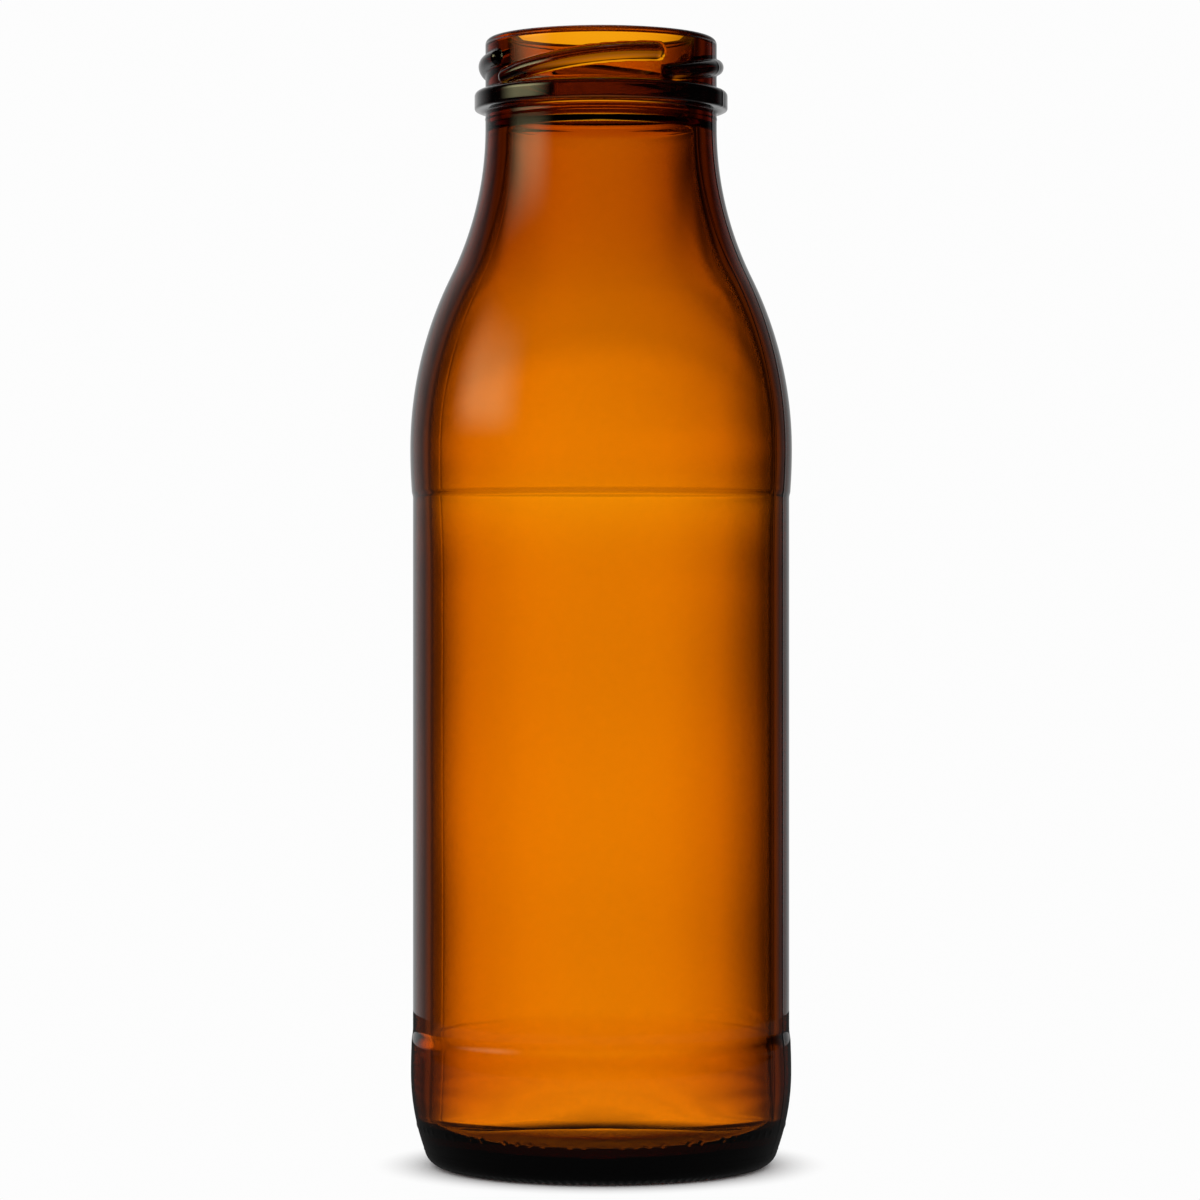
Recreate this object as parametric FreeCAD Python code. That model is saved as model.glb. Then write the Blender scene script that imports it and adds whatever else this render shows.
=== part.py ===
"""A half-litre milk bottle in amber container glass: one blown piece with a four-lug twist-off finish.

Millimetres, +Z up. The origin is the middle of the ring that the bottle stands on. Writes parts/bottle.step.
"""

import FreeCAD, Part
import math
import os

# Overall size
HEIGHT = 205.2
BODY_DIAMETER = 69.6  # at the foot of the shoulder, the widest place

# Finish, the moulded mouth that the closure twists onto. Depths are measured down from the rim.
FINISH_DIAMETER = 42.2
RIM_WALL = 4.1
RIM_OUTER_ROUNDING = 1.1
RIM_INNER_ROUNDING = 0.9
BORE_DEPTH = 16.0
BORE_DRAFT = 0.9  # how much narrower, by radius, the bore is at its lower end
LEDGE_DROP = 1.65  # height of the slope under the bore, where the blown neck opens out
LEDGE_ROUNDING = 0.6

# Lugs, the half-round ridges that the closure's claws slide under
LUG_COUNT = 4
LUG_WIDTH = 3.0
LUG_PROUD = 1.26
LUG_BEARING = -54.5  # of the first lug's low end, in degrees from -Y towards +X
LUG_SWEEP = 82.0  # degrees between the centres of its ball ends
LUG_LOW_DEPTH = 8.2
LUG_MIDDLE_DEPTH = 5.75
LUG_HIGH_DEPTH = 4.5

# Bead, the ring under the lugs
BEAD_PROUD = 1.98
BEAD_DEPTH = 9.0  # of its upper corner at the wall
BEAD_TOP_SLOPE = 0.25  # drop from the wall to the face
BEAD_HEIGHT = 3.3  # of its face
BEAD_UNDER_SLOPE = 0.5
BEAD_TOP_ROUNDING = 0.9
BEAD_UNDER_ROUNDING = 0.4
BEAD_ROOT_ROUNDING = 0.45

# Neck and shoulder: one S-curve of two arcs, from the straight neck to the widest place
NECK_DEPTH = 16.25  # the straight neck ends here
SHOULDER_HEIGHT = 130.3
NECK_ARC_SHARE = 0.466  # of the S-curve, the rest is the shoulder's arc
SHOULDER_FOOT_RADIUS = 101.5
SHOULDER_FOOT_DROP = 7.35  # from the widest place down to the label panel's upper step

# Label panel, a straight wall set back between two steps
PANEL_SETBACK = 0.5
PANEL_STEP = 0.8  # height of each step
PANEL_BOTTOM = 25.2

# Heel and base
HEEL_SETBACK = 0.12
HEEL_HEIGHT = 17.0  # of the heel's widest place
HEEL_TOP_RADIUS = 114.0
HEEL_RADIUS = 41.1
BASE_PLATE_HEIGHT = 2.9  # where the mould's base plate parts from its sides
BASE_EDGE_RADIUS = 3.5
BEARING_WIDTH = 2.5
PUNT_HEIGHT = 3.5
PUNT_FLAT_DIAMETER = 8.0  # level spot at the middle of the underside, and of the inside
PUNT_DOME_SHARE = 0.7  # of the underside's S-curve, the rest turns down to the bearing ring

# Glass
NECK_WALL = 3.8
SHOULDER_WALL = 2.7
SHOULDER_WALL_RUN = 25.0  # height over which the wall thickens below the widest place
PANEL_WALL = 3.1
BASE_WALL = 4.7
BASE_DOME = 3.0  # rise of the inside of the base
INNER_HEEL_ROUNDING = 5.7

# Worked out from these
BODY_R = BODY_DIAMETER / 2
FINISH_R = FINISH_DIAMETER / 2
PANEL_R = BODY_R - PANEL_SETBACK
HEEL_R = BODY_R - HEEL_SETBACK
UPRIGHT = FreeCAD.Vector(0, 0, 1)
LEVEL = FreeCAD.Vector(1, 0, 0)


class Section:
    """Half of a turned section in the XZ plane, drawn edge by edge: X is the radius and Z the height."""

    def __init__(self, r, z):
        self.start = self.end = FreeCAD.Vector(r, 0, z)
        self.edges = []

    def line(self, r, z):
        place = FreeCAD.Vector(r, 0, z)
        self.edges.append(Part.makeLine(self.end, place))
        self.end = place

    def arc(self, centre_r, centre_z, r, z):
        """The shorter arc about a centre."""
        centre = FreeCAD.Vector(centre_r, 0, centre_z)
        place = FreeCAD.Vector(r, 0, z)
        outward = (self.end + place) / 2 - centre
        middle = centre + outward.normalize() * (self.end - centre).Length
        self.edges.append(Part.Arc(self.end, middle, place).toShape())
        self.end = place

    def s_curve(self, r, z, share=0.5, tangent=UPRIGHT):
        """Two arcs that meet smoothly, both ends along the tangent. The first takes share of the way."""
        place = FreeCAD.Vector(r, 0, z)
        chord = place - self.end
        sideways = chord - tangent * chord.dot(tangent)
        both_radii = chord.Length**2 / (2 * sideways.Length)
        first = self.end + sideways.normalize() * both_radii * share
        second = place - sideways * both_radii * (1 - share)
        join = self.end + chord * share
        self.arc(first.x, first.z, join.x, join.z)
        self.arc(second.x, second.z, r, z)

    def corner(self, r, z, rounding, next_r, next_z):
        """A straight run to a rounded corner. The next run heads for (next_r, next_z)."""
        tip = FreeCAD.Vector(r, 0, z)
        back = (self.end - tip).normalize()
        ahead = (FreeCAD.Vector(next_r, 0, next_z) - tip).normalize()
        half_angle = back.getAngle(ahead) / 2
        before = tip + back * rounding / math.tan(half_angle)
        after = tip + ahead * rounding / math.tan(half_angle)
        centre = tip + (back + ahead).normalize() * rounding / math.sin(half_angle)
        self.line(before.x, before.z)
        self.arc(centre.x, centre.z, after.x, after.z)

    def turned(self):
        self.line(self.start.x, self.start.z)
        return Part.Face(Part.Wire(self.edges)).revolve(FreeCAD.Vector(), UPRIGHT, 360)


def arc_sag(radius, rise):
    """How far an arc falls back from its widest place, at a height of rise above or below it."""
    return radius - math.sqrt(radius**2 - rise**2)


def draw_base(outside):
    """The pushed-up underside, the bearing ring and the base plate's rounded edge."""
    plate_r = HEEL_R - arc_sag(HEEL_RADIUS, HEEL_HEIGHT - BASE_PLATE_HEIGHT)
    edge_r = plate_r + arc_sag(BASE_EDGE_RADIUS, BASE_EDGE_RADIUS - BASE_PLATE_HEIGHT)
    bearing_r = edge_r - BASE_EDGE_RADIUS
    outside.s_curve(bearing_r - BEARING_WIDTH, 0, PUNT_DOME_SHARE, LEVEL)
    outside.line(bearing_r, 0)
    outside.arc(bearing_r, BASE_EDGE_RADIUS, plate_r, BASE_PLATE_HEIGHT)


def draw_body(outside):
    """The heel, the label panel between its two steps, and the shoulder up to the straight neck."""
    heel_top = PANEL_BOTTOM - PANEL_STEP
    heel_top_r = HEEL_R - arc_sag(HEEL_TOP_RADIUS, heel_top - HEEL_HEIGHT)
    panel_top = SHOULDER_HEIGHT - SHOULDER_FOOT_DROP - PANEL_STEP
    shoulder_foot_r = BODY_R - arc_sag(SHOULDER_FOOT_RADIUS, SHOULDER_FOOT_DROP)
    outside.arc(HEEL_R - HEEL_RADIUS, HEEL_HEIGHT, HEEL_R, HEEL_HEIGHT)
    outside.arc(HEEL_R - HEEL_TOP_RADIUS, HEEL_HEIGHT, heel_top_r, heel_top)
    outside.s_curve(PANEL_R, PANEL_BOTTOM)
    outside.line(PANEL_R, panel_top)
    outside.s_curve(shoulder_foot_r, panel_top + PANEL_STEP)
    outside.arc(BODY_R - SHOULDER_FOOT_RADIUS, SHOULDER_HEIGHT, BODY_R, SHOULDER_HEIGHT)
    outside.s_curve(FINISH_R, HEIGHT - NECK_DEPTH, 1 - NECK_ARC_SHARE)


def draw_finish(outside):
    """The bead and the plain wall above it, up to the rim."""
    face_r = FINISH_R + BEAD_PROUD
    wall_top = HEIGHT - BEAD_DEPTH
    face_top = wall_top - BEAD_TOP_SLOPE
    face_bottom = face_top - BEAD_HEIGHT
    wall_bottom = face_bottom - BEAD_UNDER_SLOPE
    outside.corner(FINISH_R, wall_bottom, BEAD_ROOT_ROUNDING, face_r, face_bottom)
    outside.corner(face_r, face_bottom, BEAD_UNDER_ROUNDING, face_r, face_top)
    outside.corner(face_r, face_top, BEAD_TOP_ROUNDING, FINISH_R, wall_top)
    outside.corner(FINISH_R, wall_top, BEAD_ROOT_ROUNDING, FINISH_R, HEIGHT)
    outside.corner(FINISH_R, HEIGHT, RIM_OUTER_ROUNDING, 0, HEIGHT)


def make_outside():
    """The bottle as if it were solid glass."""
    outside = Section(0, PUNT_HEIGHT)
    outside.line(PUNT_FLAT_DIAMETER / 2, PUNT_HEIGHT)
    draw_base(outside)
    draw_body(outside)
    draw_finish(outside)
    outside.line(0, HEIGHT)
    return outside.turned()


def make_inside():
    """The hollow: the tapered bore, the ledge under it, the blown body and the domed base."""
    bore_r = FINISH_R - RIM_WALL
    bore_end = HEIGHT - BORE_DEPTH
    bore_end_r = bore_r - BORE_DRAFT
    neck_r = FINISH_R - NECK_WALL
    neck_top = bore_end - LEDGE_DROP
    shoulder_r = BODY_R - SHOULDER_WALL
    wall_r = PANEL_R - PANEL_WALL
    floor_r = wall_r - INNER_HEEL_ROUNDING
    heel_top = BASE_WALL + INNER_HEEL_ROUNDING
    mouth_r = bore_r + RIM_INNER_ROUNDING
    rounding_end = HEIGHT - RIM_INNER_ROUNDING

    inside = Section(0, HEIGHT + RIM_WALL)
    inside.line(mouth_r, HEIGHT + RIM_WALL)
    inside.line(mouth_r, HEIGHT)
    inside.arc(mouth_r, rounding_end, bore_r, rounding_end)
    inside.corner(bore_end_r, bore_end, LEDGE_ROUNDING, neck_r, neck_top)
    inside.corner(neck_r, neck_top, LEDGE_ROUNDING, neck_r, SHOULDER_HEIGHT)
    inside.s_curve(shoulder_r, SHOULDER_HEIGHT, NECK_ARC_SHARE)
    inside.s_curve(wall_r, SHOULDER_HEIGHT - SHOULDER_WALL_RUN)
    inside.line(wall_r, heel_top)
    inside.arc(floor_r, heel_top, floor_r, BASE_WALL)
    inside.s_curve(PUNT_FLAT_DIAMETER / 2, BASE_WALL + BASE_DOME, 1 - PUNT_DOME_SHARE, LEVEL)
    inside.line(0, BASE_WALL + BASE_DOME)
    return inside.turned()


def make_lug(bearing):
    """One lug: a round bar with ball ends that climbs round the wall and lies partly buried in it."""
    bar_radius = (LUG_PROUD**2 + (LUG_WIDTH / 2) ** 2) / (2 * LUG_PROUD)
    path_r = FINISH_R + LUG_PROUD - bar_radius

    def place(swept, depth):
        angle = math.radians(bearing + swept)
        return FreeCAD.Vector(path_r * math.sin(angle), -path_r * math.cos(angle), HEIGHT - depth)

    low = place(0, LUG_LOW_DEPTH)
    high = place(LUG_SWEEP, LUG_HIGH_DEPTH)
    path = Part.Arc(low, place(LUG_SWEEP / 2, LUG_MIDDLE_DEPTH), high).toShape()
    end_circle = Part.makeCircle(bar_radius, low, path.tangentAt(path.FirstParameter))
    bend = path.Curve
    turn = math.degrees(path.LastParameter - path.FirstParameter)
    bar = Part.Face(Part.Wire(end_circle)).revolve(bend.Center, bend.Axis, turn)
    return bar.fuse([Part.makeSphere(bar_radius, low), Part.makeSphere(bar_radius, high)])


def make_bottle():
    lugs = [make_lug(LUG_BEARING + 360 * number / LUG_COUNT) for number in range(LUG_COUNT)]
    glass = make_outside().fuse(lugs).cut(make_inside())
    return glass.removeSplitter().Solids[0]


os.makedirs("parts", exist_ok=True)
make_bottle().exportStep("parts/bottle.step")
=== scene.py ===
import math

import bpy
import numpy as np
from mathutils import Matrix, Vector, noise


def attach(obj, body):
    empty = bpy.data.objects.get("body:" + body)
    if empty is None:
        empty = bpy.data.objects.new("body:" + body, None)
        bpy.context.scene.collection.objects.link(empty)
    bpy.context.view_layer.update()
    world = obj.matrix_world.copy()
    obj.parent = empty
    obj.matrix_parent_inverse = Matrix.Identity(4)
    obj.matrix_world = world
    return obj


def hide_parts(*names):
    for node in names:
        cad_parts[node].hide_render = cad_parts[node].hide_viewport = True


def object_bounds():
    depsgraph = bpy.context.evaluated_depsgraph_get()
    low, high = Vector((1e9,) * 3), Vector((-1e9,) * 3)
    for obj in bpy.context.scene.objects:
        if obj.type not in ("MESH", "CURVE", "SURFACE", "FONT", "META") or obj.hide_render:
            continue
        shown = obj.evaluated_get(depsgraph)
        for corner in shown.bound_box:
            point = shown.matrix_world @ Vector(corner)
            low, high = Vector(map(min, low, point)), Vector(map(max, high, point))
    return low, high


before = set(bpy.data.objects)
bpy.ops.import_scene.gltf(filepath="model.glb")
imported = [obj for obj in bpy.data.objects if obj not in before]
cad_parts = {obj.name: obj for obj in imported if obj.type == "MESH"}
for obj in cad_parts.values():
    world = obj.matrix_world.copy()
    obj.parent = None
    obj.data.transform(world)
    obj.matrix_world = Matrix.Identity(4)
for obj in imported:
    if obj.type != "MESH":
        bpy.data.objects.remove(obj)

# ---- Frame and view ------------------------------------------------------------------------------
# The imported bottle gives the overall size. The view looks level at the middle of the bottle's height
# through a long lens.

MM = 0.001
cad_low, cad_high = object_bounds()
HEIGHT = cad_high.z
BODY_R = cad_high.x

VIEW_DISTANCE = 786 * MM
VIEW_WIDTH = 219 * MM  # what the frame shows at the bottle's axis
EYE_HEIGHT = 102.9 * MM
EYE_ASIDE = -0.2 * MM
SENSOR_WIDTH = 36

camera_data = bpy.data.cameras.new("camera")
camera_data.sensor_width = SENSOR_WIDTH
camera_data.lens = SENSOR_WIDTH * VIEW_DISTANCE / VIEW_WIDTH
camera = bpy.data.objects.new("camera", camera_data)
camera.location = (EYE_ASIDE, -VIEW_DISTANCE, EYE_HEIGHT)
camera.rotation_euler = (math.radians(90), 0, 0)
bpy.context.collection.objects.link(camera)
bpy.context.scene.camera = camera
bpy.context.scene.view_settings.view_transform = "Standard"


# ---- Outline of the glass ------------------------------------------------------------------------
# The bottle is blown in a two-part mould from one gob of amber glass. Its outline runs as one closed
# line, from the middle of the underside out, up to the rim, and down the inside to the middle again.

FINISH_R = 21.1 * MM
PANEL_R = BODY_R - 0.5 * MM
HEEL_R = BODY_R - 0.12 * MM

PUNT_HEIGHT = 3.5 * MM
PUNT_FLAT_R = 4 * MM
PUNT_DOME_SHARE = 0.7  # of the underside's S-curve, the rest turns down to the bearing ring
BEARING_INNER_R = 26.24 * MM
BEARING_R = 28.74 * MM
PLATE_R = 32.19 * MM
PLATE_HEIGHT = 2.9 * MM
PLATE_EDGE_RADIUS = 3.5 * MM
PLATE_RIDGE_PROUD = 0.12 * MM  # where the base plate of the mould meets its halves
PLATE_RIDGE_WIDTH = 0.3 * MM
HEEL_HEIGHT = 17 * MM  # of the heel's widest place
HEEL_RADIUS = 41.1 * MM
MARKS_TOP = 10 * MM  # the heel's marks lie below this
HEEL_TOP_RADIUS = 114 * MM
PANEL_BOTTOM = 25.2 * MM
PANEL_STEP = 1.6 * MM  # height of the step above the label panel
HEEL_STEP = 3.2 * MM  # height of the step below it
SHOULDER_HEIGHT = 130.3 * MM
SHOULDER_FOOT_RADIUS = 101.5 * MM
SHOULDER_FOOT_DROP = 7.35 * MM
NECK_ARC_SHARE = 0.466  # of the S-curve, the rest is the shoulder's arc
NECK_TOP = HEIGHT - 16.25 * MM

BEAD_R = FINISH_R + 1.98 * MM
BEAD_UNDER = HEIGHT - 13.55 * MM
BEAD_FACE_BOTTOM = HEIGHT - 13.05 * MM
BEAD_FACE_TOP = HEIGHT - 9.75 * MM
BEAD_TOP = HEIGHT - 9.5 * MM
BEAD_ROOT_ROUNDING = 0.45 * MM
BEAD_UNDER_ROUNDING = 0.4 * MM
BEAD_TOP_ROUNDING = 0.9 * MM
RIM_OUTER_ROUNDING = 1.1 * MM
RIM_INNER_ROUNDING = 0.9 * MM

BORE_R = FINISH_R - 4.1 * MM
BORE_END_R = BORE_R - 0.9 * MM
BORE_END = HEIGHT - 15.4 * MM
LEDGE_END = BORE_END - 1.5 * MM
LEDGE_ROUNDING = 0.5 * MM
NECK_INNER_R = FINISH_R - 3.8 * MM
SHOULDER_INNER_R = BODY_R - 3.1 * MM
PANEL_INNER_R = PANEL_R - 3.1 * MM
SHOULDER_WALL_RUN = 25 * MM  # height over which it changes to the panel's wall
FLOOR_HEIGHT = 5.2 * MM
FLOOR_DOME = 3.3 * MM
INNER_HEEL_ROUNDING = 5.2 * MM

# Longest pieces that the outline is cut to, and how far a round one turns at most
PLAIN_CUT = 1.0 * MM
STRAIGHT_CUT = 1.5 * MM
SHOULDER_CUT = 1.2 * MM
STEP_CUT = 0.16 * MM
MARKS_CUT = 0.3 * MM
RIM_CUT = 0.4 * MM
LEDGE_CUT = 0.9 * MM
INNER_HEEL_CUT = 0.6 * MM
PLAIN_TURN = math.radians(6)
RIM_TURN = math.radians(12)

UPRIGHT = Vector((0, 1))
LEVEL = Vector((1, 0))


class Outline:
    """A line of (radius, height) points. Straight and round stretches are cut into pieces."""

    def __init__(self, r, z):
        self.points = [Vector((r, z))]
        self.cut = PLAIN_CUT
        self.turn = PLAIN_TURN

    def line(self, r, z):
        end = Vector((r, z))
        start = self.points[-1]
        count = max(1, round((end - start).length / self.cut))
        self.points += [start.lerp(end, (i + 1) / count) for i in range(count)]

    def arc(self, centre_r, centre_z, r, z):
        centre = Vector((centre_r, centre_z))
        start = self.points[-1] - centre
        end = Vector((r, z)) - centre
        turn = start.angle_signed(end)
        count = math.ceil(max(1, abs(turn) / self.turn, abs(turn) * start.length / self.cut))
        for i in range(1, count + 1):
            angle = -turn * i / count
            spoke = Vector((
                start.x * math.cos(angle) - start.y * math.sin(angle),
                start.x * math.sin(angle) + start.y * math.cos(angle),
            ))
            self.points.append(centre + spoke)

    def s_curve(self, r, z, share=0.5, tangent=UPRIGHT):
        """Two arcs that bend opposite ways. The first takes this share of the chord."""
        start = self.points[-1]
        end = Vector((r, z))
        chord = end - start
        sideways = chord - tangent * chord.dot(tangent)
        both_radii = chord.length_squared / (2 * sideways.length)
        first = start + sideways.normalized() * both_radii * share
        second = end - sideways.normalized() * both_radii * (1 - share)
        join = start + chord * share
        self.arc(first.x, first.y, join.x, join.y)
        self.arc(second.x, second.y, r, z)

    def corner(self, r, z, rounding, next_r, next_z):
        """A straight stretch and a rounding, up to where the line to the next point starts."""
        tip = Vector((r, z))
        back = (self.points[-1] - tip).normalized()
        ahead = (Vector((next_r, next_z)) - tip).normalized()
        half_angle = back.angle(ahead) / 2
        before = tip + back * rounding / math.tan(half_angle)
        after = tip + ahead * rounding / math.tan(half_angle)
        centre = tip + (back + ahead).normalized() * rounding / math.sin(half_angle)
        self.line(before.x, before.y)
        self.arc(centre.x, centre.y, after.x, after.y)


def arc_sag(radius, rise):
    """How far an arc falls back from its upright tangent over this rise."""
    return radius - math.sqrt(radius**2 - rise**2)


# Underside up to the bearing ring
punt = Outline(PUNT_FLAT_R, PUNT_HEIGHT)
punt.s_curve(BEARING_INNER_R, 0, PUNT_DOME_SHARE, LEVEL)

# Bearing ring, base plate's edge and the lower heel with its marks
heel = Outline(BEARING_INNER_R, 0)
heel.cut = MARKS_CUT
heel.line(BEARING_R, 0)
heel.arc(BEARING_R, PLATE_EDGE_RADIUS, PLATE_R, PLATE_HEIGHT)
plate_top = PLATE_HEIGHT + PLATE_RIDGE_WIDTH
heel.line(PLATE_R + PLATE_RIDGE_PROUD, PLATE_HEIGHT + PLATE_RIDGE_WIDTH / 2)
heel.line(HEEL_R - arc_sag(HEEL_RADIUS, HEEL_HEIGHT - plate_top), plate_top)
marks_top_r = HEEL_R - arc_sag(HEEL_RADIUS, HEEL_HEIGHT - MARKS_TOP)
heel.arc(HEEL_R - HEEL_RADIUS, HEEL_HEIGHT, marks_top_r, MARKS_TOP)

# Body up to the straight neck
heel_top = PANEL_BOTTOM - HEEL_STEP
heel_top_r = HEEL_R - arc_sag(HEEL_TOP_RADIUS, heel_top - HEEL_HEIGHT)
shoulder_foot = SHOULDER_HEIGHT - SHOULDER_FOOT_DROP
shoulder_foot_r = BODY_R - arc_sag(SHOULDER_FOOT_RADIUS, SHOULDER_FOOT_DROP)
body = Outline(marks_top_r, MARKS_TOP)
body.arc(HEEL_R - HEEL_RADIUS, HEEL_HEIGHT, HEEL_R, HEEL_HEIGHT)
body.arc(HEEL_R - HEEL_TOP_RADIUS, HEEL_HEIGHT, heel_top_r, heel_top)
body.cut = STEP_CUT
body.s_curve(PANEL_R, PANEL_BOTTOM)
body.cut = STRAIGHT_CUT
body.line(PANEL_R, shoulder_foot - PANEL_STEP)
body.cut = STEP_CUT
body.s_curve(shoulder_foot_r, shoulder_foot)
body.cut = SHOULDER_CUT
body.arc(BODY_R - SHOULDER_FOOT_RADIUS, SHOULDER_HEIGHT, BODY_R, SHOULDER_HEIGHT)
body.s_curve(FINISH_R, NECK_TOP, 1 - NECK_ARC_SHARE)

# Rim, bore, ledge and the blown hollow
hollow = Outline(FINISH_R, HEIGHT - RIM_OUTER_ROUNDING)
hollow.cut = RIM_CUT
hollow.turn = RIM_TURN
hollow.corner(FINISH_R, HEIGHT, RIM_OUTER_ROUNDING, 0, HEIGHT)
hollow.corner(BORE_R, HEIGHT, RIM_INNER_ROUNDING, BORE_END_R, BORE_END)
hollow.cut = LEDGE_CUT
hollow.corner(BORE_END_R, BORE_END, LEDGE_ROUNDING, NECK_INNER_R, LEDGE_END)
hollow.corner(NECK_INNER_R, LEDGE_END, LEDGE_ROUNDING, NECK_INNER_R, 0)
hollow.cut = STRAIGHT_CUT
hollow.s_curve(SHOULDER_INNER_R, SHOULDER_HEIGHT, NECK_ARC_SHARE)
hollow.s_curve(PANEL_INNER_R, SHOULDER_HEIGHT - SHOULDER_WALL_RUN)
inner_heel_r = PANEL_INNER_R - INNER_HEEL_ROUNDING
inner_heel_top = FLOOR_HEIGHT + INNER_HEEL_ROUNDING
hollow.line(PANEL_INNER_R, inner_heel_top)
hollow.cut = INNER_HEEL_CUT
hollow.arc(inner_heel_r, inner_heel_top, inner_heel_r, FLOOR_HEIGHT)
hollow.cut = STRAIGHT_CUT
hollow.s_curve(PUNT_FLAT_R, FLOOR_HEIGHT + FLOOR_DOME, 1 - PUNT_DOME_SHARE, LEVEL)


# ---- Finish: bead and lugs -----------------------------------------------------------------------
# The closure's claws catch under four lugs that climb to the right. They are half-round ridges with
# ball ends, and a bead below them is the ring that the machines hold the bottle by.

LUG_COUNT = 4
LUG_WIDTH = 3.0 * MM
LUG_PROUD = 1.26 * MM
LUG_BEARING = math.radians(-54.5)  # of the first lug's low end, from the front towards +X
LUG_SWEEP = math.radians(82)  # between the centres of its ball ends
LUG_LOW = HEIGHT - 8.2 * MM
LUG_MIDDLE = HEIGHT - 5.75 * MM
LUG_HIGH = HEIGHT - 4.5 * MM
LUG_ROOT_ROUNDING = 0.4 * MM
NECK_RING = HEIGHT - 14.7 * MM  # where the mould's neck ring meets its halves
NECK_RING_PROUD = 0.08 * MM
NECK_RING_HALF_WIDTH = 0.16 * MM
FINISH_CUT = 0.3 * MM
FINISH_ROWS = 76
FINISH_SLICES = 1600  # for measuring along the glass, before the rows are spaced

finish = Outline(FINISH_R, NECK_TOP)
finish.cut = FINISH_CUT
finish.corner(FINISH_R, BEAD_UNDER, BEAD_ROOT_ROUNDING, BEAD_R, BEAD_FACE_BOTTOM)
finish.corner(BEAD_R, BEAD_FACE_BOTTOM, BEAD_UNDER_ROUNDING, BEAD_R, BEAD_FACE_TOP)
finish.corner(BEAD_R, BEAD_FACE_TOP, BEAD_TOP_ROUNDING, FINISH_R, BEAD_TOP)
finish.corner(FINISH_R, BEAD_TOP, BEAD_ROOT_ROUNDING, FINISH_R, HEIGHT)
finish.line(FINISH_R, HEIGHT - RIM_OUTER_ROUNDING)


def lug_radius(angle, z):
    """How far the nearest lug's surface stands from the axis at a bearing and height."""
    bar = (LUG_PROUD**2 + (LUG_WIDTH / 2) ** 2) / (2 * LUG_PROUD)
    half = LUG_SWEEP / 2
    pitch = 2 * math.pi / LUG_COUNT
    swept = (angle - LUG_BEARING - half + pitch / 2) % pitch - pitch / 2
    beyond = np.maximum(np.abs(swept) - half, 0)
    along = np.clip(swept, -half, half)
    climb = (LUG_HIGH - LUG_LOW) / (2 * math.sin(half))
    droop = (LUG_MIDDLE - (LUG_HIGH + LUG_LOW) / 2) / (1 - math.cos(half))
    middle = LUG_MIDDLE + climb * np.sin(along) - droop * (1 - np.cos(along))
    slope = (climb * np.cos(along) - droop * np.sin(along)) / FINISH_R
    across = (z - middle) / np.hypot(1, np.where(beyond > 0, 0, slope))
    away = np.hypot(across, beyond * FINISH_R)
    dome = np.sqrt(np.maximum(bar**2 - away**2, 0)) - np.maximum(away - bar, 0)
    return FINISH_R + dome - (bar - LUG_PROUD)


def blended(a, b, rounding):
    """The larger of two radii, with a rounded root between them."""
    return np.maximum(a, b) + np.maximum(rounding - np.abs(a - b), 0) ** 2 / (4 * rounding)


def finish_rings(angles):
    """Rings up the bead and the lugged wall, evenly spaced along the glass at each bearing."""
    slices = np.linspace(finish.points[0].y, finish.points[-1].y, FINISH_SLICES)
    plain = np.interp(slices, [p.y for p in finish.points], [p.x for p in finish.points])
    plain += NECK_RING_PROUD * np.exp(-(((slices - NECK_RING) / NECK_RING_HALF_WIDTH) ** 2))
    radii = blended(plain[:, None], lug_radius(angles[None, :], slices[:, None]), LUG_ROOT_ROUNDING)
    steps = np.hypot(np.diff(radii, axis=0), np.diff(slices)[:, None])
    run = np.vstack([np.zeros(len(angles)), np.cumsum(steps, axis=0)])
    rings = np.empty((FINISH_ROWS, len(angles), 2))
    for column in range(len(angles)):
        wanted = np.linspace(0, run[-1, column], FINISH_ROWS)
        rings[:, column, 0] = np.interp(wanted, run[:, column], radii[:, column])
        rings[:, column, 1] = np.interp(wanted, run[:, column], slices)
    return rings


# ---- Marks of the mould --------------------------------------------------------------------------
# The mould leaves a fine seam up each side and round the neck, knurling on the bearing ring, and a
# row of small raised pips on the heel, where such bottles carry their mould's code.

COLUMNS = 300
SEAM_BEARINGS = (math.radians(72.5), math.radians(252.5))
SEAM_PROUD = 0.07 * MM
SEAM_HALF_WIDTH = 0.35 * MM
SEAM_COLUMNS = 3  # to each side of a seam's middle
SEAM_CLEARANCE = 1.3  # how far the plain columns keep off, as a share of the seam's own reach
KNURL_COUNT = 120
KNURL_DEPTH = 0.22 * MM
KNURL_SLANT = 2.2  # pitches that a groove leans over across the ring
KNURL_BREADTH = 0.7  # power that makes the crests broad and the grooves narrow
KNURL_REACH = 0.9375  # ring widths from its middle to where the knurling ends
KNURL_FADE = 0.625  # ring widths over which it fades
FINE = 3  # fine columns to each plain one, for the knurling and the pips
KNURL_OUTER_R = BEARING_R + 2.1 * MM
KNURL_TOP = PLATE_EDGE_RADIUS / 4
PIP_PROUD = 0.1 * MM
PIP_R = 0.6 * MM
PIP_HEIGHT = 7.4 * MM
PIP_PITCH = math.radians(4.2)
PIP_ROW_HALF = math.radians(97)
PIP_STRIDE = 7  # the row's order of pips and gaps comes back after each cycle
PIP_CYCLE = 11
PIP_GAPS = 3


def bearing_between(angles, bearing):
    """Angles measured from this bearing, the short way round."""
    return (angles - bearing + math.pi) % (2 * math.pi) - math.pi


def seam(angles, r):
    """Extra radius of the two upright seams."""
    away = np.array([bearing_between(angles, bearing) for bearing in SEAM_BEARINGS])
    return SEAM_PROUD * np.exp(-((away * r / SEAM_HALF_WIDTH) ** 2)).sum(axis=0)


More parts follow.
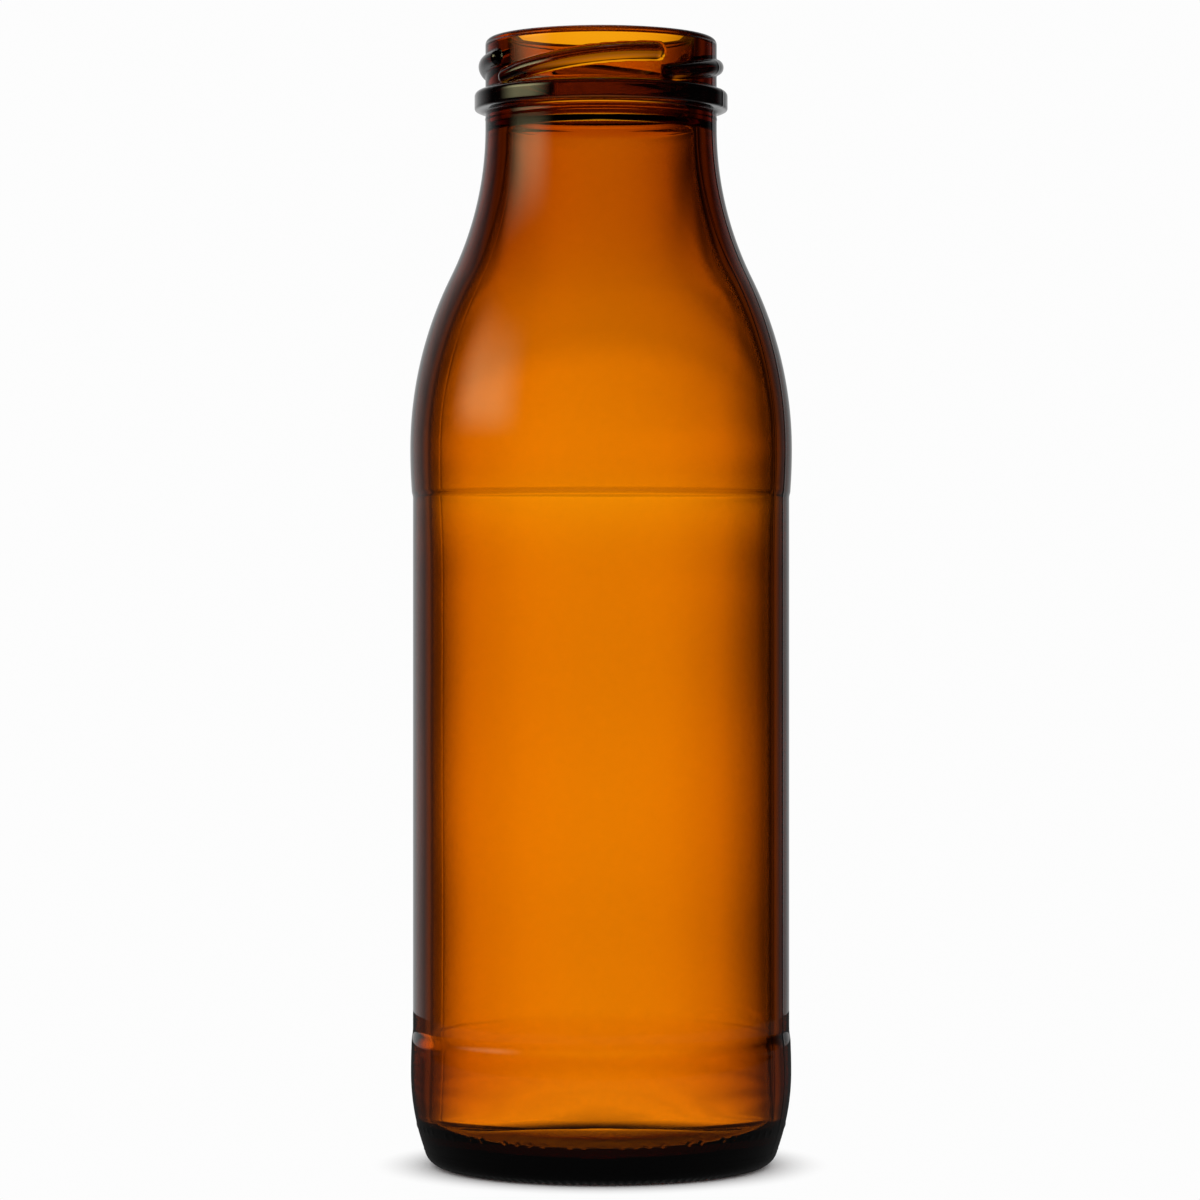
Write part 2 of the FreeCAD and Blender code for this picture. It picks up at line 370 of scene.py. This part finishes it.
def column_bearings():
    """Evenly spaced columns, with closer ones across each seam."""
    even = np.arange(COLUMNS) * 2 * math.pi / COLUMNS
    across = np.arange(-SEAM_COLUMNS, SEAM_COLUMNS + 1) * SEAM_HALF_WIDTH / BODY_R
    for bearing in SEAM_BEARINGS:
        even = even[np.abs(bearing_between(even, bearing)) > SEAM_CLEARANCE * across[-1]]
        even = np.concatenate([even, bearing + across])
    return np.sort(even)


def knurl(angles, r):
    """Height of the slanted grooves across the bearing ring."""
    across = (r - BEARING_INNER_R) / (KNURL_OUTER_R - BEARING_INNER_R)
    fade = np.clip((KNURL_REACH - abs(across - 0.5)) / KNURL_FADE, 0, 1)
    phase = angles * KNURL_COUNT + KNURL_SLANT * across
    return KNURL_DEPTH * fade * (0.5 - 0.5 * np.cos(phase)) ** KNURL_BREADTH


def pips(angles, z):
    """Extra radius of the heel's pips. Some are left out, as in a mould's dot code."""
    number = np.floor(angles / PIP_PITCH)
    away = (angles - (number + 0.5) * PIP_PITCH) * HEEL_R
    coded = number * PIP_STRIDE % PIP_CYCLE >= PIP_GAPS
    in_row = np.abs(bearing_between(angles, 0)) < PIP_ROW_HALF
    reach = np.hypot(away, z - PIP_HEIGHT)
    return np.where(coded & in_row, PIP_PROUD * np.clip(1 - (reach / PIP_R) ** 2, 0, 1), 0)


# ---- The bottle ----------------------------------------------------------------------------------
# One closed skin of glass, outside and inside. Blown glass is never even: the inner wall swells and
# thins a little from place to place, while the outside keeps the mould's shape.

SWELL = 0.06 * MM
SWELL_ACROSS = 26 * MM
SWELL_ALONG = 42 * MM
SWELL_FADE = 12 * MM  # the swelling dies out over this below the ledge and above the base

GLASS_IOR = 1.52
GLASS_ROUGHNESS = 0.012
GLASS_DENSITY = 1400  # absorption per metre
GLASS_PASSES = (0.879, 0.717, 0.0)
EDGE_SHADE_FACING = (0.6, 0.84)  # painted shade: the colour fades to black where a ray meets the skin more edge-on than this
BEAD_AND_LUG_HEIGHTS = (HEIGHT - 14.6 * MM, HEIGHT - 14.2 * MM)  # bead and lugs stand out above these
BEAD_AND_LUG_RADII = (FINISH_R + 0.2 * MM, FINISH_R + 1.5 * MM)
BEAD_SHADE_KEPT = 0.06  # painted shade: the share of the glass's colour kept on bead and lugs
THICK_POLISH_IOR = 1.9
RIPPLE_SCALE = 85
RIPPLE_DETAIL = 3
RIPPLE_DEPTH = 0.012 * MM


def placed(radii, heights, angles):
    """A ring of points at these bearings."""
    heights = np.broadcast_to(heights, radii.shape)
    return np.stack([radii * np.sin(angles), -radii * np.cos(angles), heights], axis=1)


def uneven(ring):
    """An inner ring as the blown wall has it, thicker or thinner at each point."""
    height = ring[0, 2]
    fade = min(1, max(0, (LEDGE_END - height) / SWELL_FADE), max(0, height / SWELL_FADE))
    scale = Vector((1 / SWELL_ACROSS, 1 / SWELL_ACROSS, 1 / SWELL_ALONG))
    thicker = SWELL * fade * np.array([noise.noise(Vector(point) * scale) for point in ring])
    outward = ring[:, :2] / np.linalg.norm(ring[:, :2], axis=1, keepdims=True)
    moved = ring.copy()
    moved[:, :2] -= outward * thicker[:, None]
    return moved


def bottle_rings():
    """All rings in order, from the middle of the underside to the middle of the inside."""
    plain = column_bearings()
    following = np.append(plain[1:], plain[0] + 2 * math.pi)
    fine = np.concatenate([plain + (following - plain) * i / FINE for i in range(FINE)])
    fine = np.sort(fine)
    rings = []
    for point in punt.points[:-1]:
        rings.append(placed(np.full(len(plain), point.x), point.y, plain))
    for point in heel.points:
        radii = np.full(len(fine), point.x)
        heights = knurl(fine, point.x) if point.y < KNURL_TOP else 0
        radii += pips(fine, point.y) + (seam(fine, point.x) if point.y > PLATE_HEIGHT else 0)
        rings.append(placed(radii, point.y + heights, fine))
    for point in body.points[1:]:
        rings.append(placed(point.x + seam(plain, point.x), point.y, plain))
    for line in finish_rings(plain)[1:]:
        rings.append(placed(line[:, 0] + seam(plain, FINISH_R), line[:, 1], plain))
    for point in hollow.points[1:]:
        rings.append(uneven(placed(np.full(len(plain), point.x), point.y, plain)))
    return rings


def bridged(first, first_count, second, second_count):
    """Faces between two rings. Where one has more points, each plain step meets several fine ones."""
    faces = []
    share = max(first_count, second_count) // min(first_count, second_count)
    for i in range(min(first_count, second_count)):
        if first_count <= second_count:
            near = [first + i, first + (i + 1) % first_count]
            far = [second + (i * share + k) % second_count for k in range(share, -1, -1)]
        else:
            near = [first + (i * share + k) % first_count for k in range(share + 1)]
            far = [second + (i + 1) % second_count, second + i]
        faces.append(near + far)
    return faces


def bottle_mesh():
    """The whole skin, with a flat closing face at the middle of the underside and of the inside."""
    rings = bottle_rings()
    starts = np.cumsum([0] + [len(ring) for ring in rings])
    faces = [list(range(len(rings[0])))[::-1]]
    for k in range(len(rings) - 1):
        faces += bridged(int(starts[k]), len(rings[k]), int(starts[k + 1]), len(rings[k + 1]))
    faces.append(list(range(int(starts[-2]), int(starts[-1]))))
    mesh = bpy.data.meshes.new("bottle_glass")
    mesh.from_pydata(np.concatenate(rings).tolist(), [], faces)
    mesh.shade_smooth()
    return mesh


def maths(tree, operation, *values):
    """A Math node on numbers or other nodes' outputs."""
    node = tree.nodes.new("ShaderNodeMath")
    node.operation = operation
    for socket, value in zip(node.inputs, values):
        if isinstance(value, (int, float)):
            socket.default_value = value
        else:
            tree.links.new(value, socket)
    return node.outputs["Value"]


def ramp(tree, value, ends, results=(0, 1)):
    """The first result up to the first end and the second one from the second end, smooth between."""
    node = tree.nodes.new("ShaderNodeMapRange")
    node.interpolation_type = "SMOOTHSTEP"
    for name, number in zip(("From Min", "From Max", "To Min", "To Max"), (*ends, *results)):
        node.inputs[name].default_value = number
    tree.links.new(value, node.inputs["Value"])
    return node.outputs["Result"]


def vector_maths(tree, operation, *values):
    """A Vector Math node on other nodes' outputs or plain triples."""
    node = tree.nodes.new("ShaderNodeVectorMath")
    node.operation = operation
    for socket, value in zip(node.inputs, values):
        if isinstance(value, tuple):
            socket.default_value = value
        else:
            tree.links.new(value, socket)
    return node.outputs


def amber_glass():
    """Glass that darkens with depth, with painted shade where rays meet it edge-on and on bead and lugs,
    which also get a clear coat.
    """
    material = bpy.data.materials.new("amber_glass")
    material.use_nodes = True
    tree = material.node_tree
    nodes, links = tree.nodes, tree.links
    shader = nodes["Principled BSDF"]
    # Painted shade: the glass's colour darkens to black where a ray meets the skin edge-on.
    facing = nodes.new("ShaderNodeLayerWeight")
    edge_painted_shade = ramp(tree, facing.outputs["Facing"], EDGE_SHADE_FACING, (1, 0))
    place = nodes.new("ShaderNodeTexCoord").outputs["Object"]
    split = nodes.new("ShaderNodeSeparateXYZ")
    links.new(place, split.inputs["Vector"])
    level = vector_maths(tree, "MULTIPLY", place, (1, 1, 0))["Vector"]
    radius = vector_maths(tree, "LENGTH", level)["Value"]
    # Painted shade: bead and lugs keep only a small share of the glass's colour, and get a clear coat.
    proud = ramp(tree, radius, BEAD_AND_LUG_RADII)
    bead_and_lugs = maths(tree, "MULTIPLY", proud, ramp(tree, split.outputs["Z"], BEAD_AND_LUG_HEIGHTS))
    bead_painted_shade = maths(tree, "SUBTRACT", 1, maths(tree, "MULTIPLY", bead_and_lugs, 1 - BEAD_SHADE_KEPT))
    links.new(maths(tree, "MULTIPLY", edge_painted_shade, bead_painted_shade), shader.inputs["Base Color"])
    links.new(bead_and_lugs, shader.inputs["Coat Weight"])
    shader.inputs["Coat IOR"].default_value = THICK_POLISH_IOR

    ripple = nodes.new("ShaderNodeTexNoise")
    ripple.inputs["Scale"].default_value = RIPPLE_SCALE
    ripple.inputs["Detail"].default_value = RIPPLE_DETAIL
    links.new(place, ripple.inputs["Vector"])
    bump = nodes.new("ShaderNodeBump")
    bump.inputs["Distance"].default_value = RIPPLE_DEPTH
    links.new(ripple.outputs["Fac"], bump.inputs["Height"])
    links.new(bump.outputs["Normal"], shader.inputs["Normal"])

    shader.inputs["Transmission Weight"].default_value = 1
    shader.inputs["Roughness"].default_value = GLASS_ROUGHNESS
    shader.inputs["IOR"].default_value = GLASS_IOR
    absorption = nodes.new("ShaderNodeVolumeAbsorption")
    absorption.inputs["Color"].default_value = (*GLASS_PASSES, 1)
    absorption.inputs["Density"].default_value = GLASS_DENSITY
    links.new(absorption.outputs["Volume"], nodes["Material Output"].inputs["Volume"])
    return material


bottle = bpy.data.objects.new("bottle_glass", bottle_mesh())
bottle.data.materials.append(amber_glass())
bpy.context.collection.objects.link(bottle)
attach(bottle, "root")
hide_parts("bottle")


# ---- Studio --------------------------------------------------------------------------------------
# A white floor runs into a white background. The bottle stands before tall lit panels in a dark
# room, which give glass its dark edges, and a soft warm light at the left glints on its upper half.

FLOOR_R = 300 * MM
FLOOR_SIDES = 128
FLOOR_DROP = 0.05 * MM
FLOOR_COLOUR = (0.9, 0.9, 0.9, 1)
FLOOR_SHADE_ENDS = (29 * MM, 42 * MM)  # the bottle's shadow fades out between these
GLASS_SHADE_ENDS = (45 * MM, 110 * MM)  # the painted shadow on the floor as the glass shows it fades out between these
WHITE = 0.98
FLOOR_IN_SHADE = 0.03
FLOOR_IN_GLOSS = 0.04


def white_light(tree, strength):
    shader = tree.nodes.new("ShaderNodeEmission")
    shader.inputs["Strength"].default_value = strength
    return shader.outputs["Emission"]


def shader_mix(tree, share, first, second):
    mix = tree.nodes.new("ShaderNodeMixShader")
    for socket, value in zip(mix.inputs, (share, first, second)):
        tree.links.new(value, socket)
    return mix.outputs["Shader"]


def white_floor():
    """Plain white to the eye, but for the shadow, and to the glass a painted dark shadow near the bottle.
    """
    material = bpy.data.materials.new("white_floor")
    material.use_nodes = True
    tree = material.node_tree
    tree.nodes.remove(tree.nodes["Principled BSDF"])
    place = tree.nodes.new("ShaderNodeNewGeometry")
    distance = vector_maths(tree, "LENGTH", place.outputs["Position"])["Value"]
    lit = tree.nodes.new("ShaderNodeBsdfDiffuse")
    lit.inputs["Color"].default_value = FLOOR_COLOUR
    clear = tree.nodes.new("ShaderNodeBsdfTransparent")
    ray = tree.nodes.new("ShaderNodeLightPath")
    bright = white_light(tree, WHITE)
    seen = shader_mix(tree, ramp(tree, distance, FLOOR_SHADE_ENDS), lit.outputs["BSDF"], bright)
    # Painted shadow: to the glass the floor near the bottle is a dim light, and clear farther out.
    dim = white_light(tree, FLOOR_IN_SHADE)
    through = shader_mix(tree, ramp(tree, distance, GLASS_SHADE_ENDS), dim, clear.outputs["BSDF"])
    mirrored = white_light(tree, FLOOR_IN_GLOSS)
    surface = shader_mix(tree, ray.outputs["Is Glossy Ray"], seen, mirrored)
    surface = shader_mix(tree, ray.outputs["Is Transmission Ray"], surface, through)
    tree.links.new(surface, tree.nodes["Material Output"].inputs["Surface"])
    return material


around = [2 * math.pi * i / FLOOR_SIDES for i in range(FLOOR_SIDES)]
floor_mesh = bpy.data.meshes.new("floor")
floor_mesh.from_pydata(
    [(FLOOR_R * math.cos(a), FLOOR_R * math.sin(a), -FLOOR_DROP) for a in around], [], [range(FLOOR_SIDES)]
)
floor_mesh.materials.append(white_floor())
floor = bpy.data.objects.new("floor", floor_mesh)
bpy.context.collection.objects.link(floor)

# Bearings are degrees to the right of straight behind the bottle, and heights degrees above level.
PLAIN_LIGHT = 1
PANEL_BEARINGS = (-2.2, -90)
PANEL_LIGHT = 2.55
PANEL_SPREAD = 12.2  # from a panel's middle to where it is half as bright
PANEL_FALL = 3  # power of its fall, higher for a sharper edge
TUBE_PITCH = 4.1  # the panels' tubes lie one above another
TUBE_MIDDLE = -2.7
TUBE_SPREAD = 1.2
TUBE_LIGHT = 0.03
TUBE_ROWS = (-5.5, -4)  # below this the tubes can't be told apart
PANEL_DIMS = (3.7, 4.9)  # between these it drops to this share of its light
PANEL_TOP_LIGHT = 0.76
PANEL_TOP = (50, 35)
PANEL_FOOT = (-16, -10)
SIDE_STRIP = 40  # a fainter strip stands this far to each side of a panel
SIDE_STRIP_SPREAD = 7
SIDE_STRIP_LIGHT = 0.17
ROOM_LIGHT = 0.015
GLOSSY_ROOM_LIGHT = 0.003
LOW_PANELS = ((-45, (-8, -12)), (135, (8, 2)))  # bearing and top, for looks from above
LOW_SPREAD = 24
RIM_BEARING = -6  # a broad dim light behind, which only the polish shows
RIM_SPREAD = (58, 0)
RIM_LIGHT = 0.5
GLOW_LEFT = (-74, -98)  # where the warm light starts and is full, on each of its four sides
GLOW_RIGHT = (-134, -110)
GLOW_FOOT = (2.6, 12)
GLOW_HEAD = (38, 13)
GLOW_LIGHT = 1.9
GLOW_COLOUR = (1, 0.93, 0.5, 1)

world = bpy.data.worlds.new("studio")
bpy.context.scene.world = world
world.use_nodes = True
room = world.node_tree


def worked(operation, *values):
    return maths(room, operation, *values)


def product(*values):
    result = values[0]
    for value in values[1:]:
        result = worked("MULTIPLY", result, value)
    return result


def chosen(ray_kind, otherwise, light):
    """One light for this kind of ray, and another for the rest."""
    rest = product(otherwise, worked("SUBTRACT", 1, ray_kind))
    return worked("ADD", product(light, ray_kind), rest)


def off_by(middle):
    """Degrees of bearing to either side of this one."""
    return worked("ABSOLUTE", worked("SUBTRACT", bearing, middle))


def falling(offset, spread):
    """Full at no offset and falling away with it."""
    fall = worked("POWER", worked("DIVIDE", offset, spread), PANEL_FALL)
    return worked("DIVIDE", 1, worked("ADD", fall, 1))


# Directions as bearing and height
toward = room.nodes.new("ShaderNodeTexCoord")
split = room.nodes.new("ShaderNodeSeparateXYZ")
room.links.new(toward.outputs["Generated"], split.inputs["Vector"])
bearing = worked("DEGREES", worked("ARCTAN2", split.outputs["X"], split.outputs["Y"]))
height = worked("DEGREES", worked("ARCSINE", split.outputs["Z"]))

# What shows through the glass: the panels with their tubes, the side strips and the low panels
tube_phase = product(worked("SUBTRACT", height, TUBE_MIDDLE), 2 * math.pi / TUBE_PITCH)
tubes = product(worked("COSINE", tube_phase), ramp(room, height, TUBE_ROWS))
spread = worked("ADD", product(tubes, TUBE_SPREAD), PANEL_SPREAD)
panels = worked("MAXIMUM", *[falling(off_by(middle), spread) for middle in PANEL_BEARINGS])
for middle in PANEL_BEARINGS:
    strip = worked("ABSOLUTE", worked("SUBTRACT", off_by(middle), SIDE_STRIP))
    panels = worked("MAXIMUM", panels, product(falling(strip, SIDE_STRIP_SPREAD), SIDE_STRIP_LIGHT))
low_panels = [
    product(falling(off_by(middle), LOW_SPREAD), ramp(room, height, top)) for middle, top in LOW_PANELS
]
strength = product(
    worked("ADD", product(tubes, TUBE_LIGHT), 1),
    ramp(room, height, PANEL_DIMS, (PANEL_LIGHT, PANEL_LIGHT * PANEL_TOP_LIGHT)),
    ramp(room, height, PANEL_TOP),
    ramp(room, height, PANEL_FOOT),
)
behind = worked("ADD", product(panels, strength), ROOM_LIGHT)
below = product(worked("MAXIMUM", *low_panels), PANEL_LIGHT)
through = worked("MAXIMUM", behind, below)

# What the polish mirrors
glow = product(
    ramp(room, bearing, GLOW_LEFT),
    ramp(room, bearing, GLOW_RIGHT),
    ramp(room, height, GLOW_FOOT),
    ramp(room, height, GLOW_HEAD),
    GLOW_LIGHT,
)
rim = product(ramp(room, off_by(RIM_BEARING), RIM_SPREAD), RIM_LIGHT)
gloss = worked("ADD", rim, GLOSSY_ROOM_LIGHT)

# Each kind of ray meets its own light
ray = room.nodes.new("ShaderNodeLightPath")
light = chosen(ray.outputs["Is Glossy Ray"], PLAIN_LIGHT, gloss)
light = chosen(ray.outputs["Is Transmission Ray"], light, through)
light = chosen(ray.outputs["Is Camera Ray"], light, WHITE)
plain_light = room.nodes["Background"]
room.links.new(light, plain_light.inputs["Color"])
warm_light = room.nodes.new("ShaderNodeBackground")
warm_light.inputs["Color"].default_value = GLOW_COLOUR
outside_only = worked("SUBTRACT", 1, ray.outputs["Is Transmission Ray"])
room.links.new(product(glow, ray.outputs["Is Glossy Ray"], outside_only), warm_light.inputs["Strength"])
both_lights = room.nodes.new("ShaderNodeAddShader")
room.links.new(plain_light.outputs["Background"], both_lights.inputs[0])
room.links.new(warm_light.outputs["Background"], both_lights.inputs[1])
room.links.new(both_lights.outputs["Shader"], room.nodes["World Output"].inputs["Surface"])
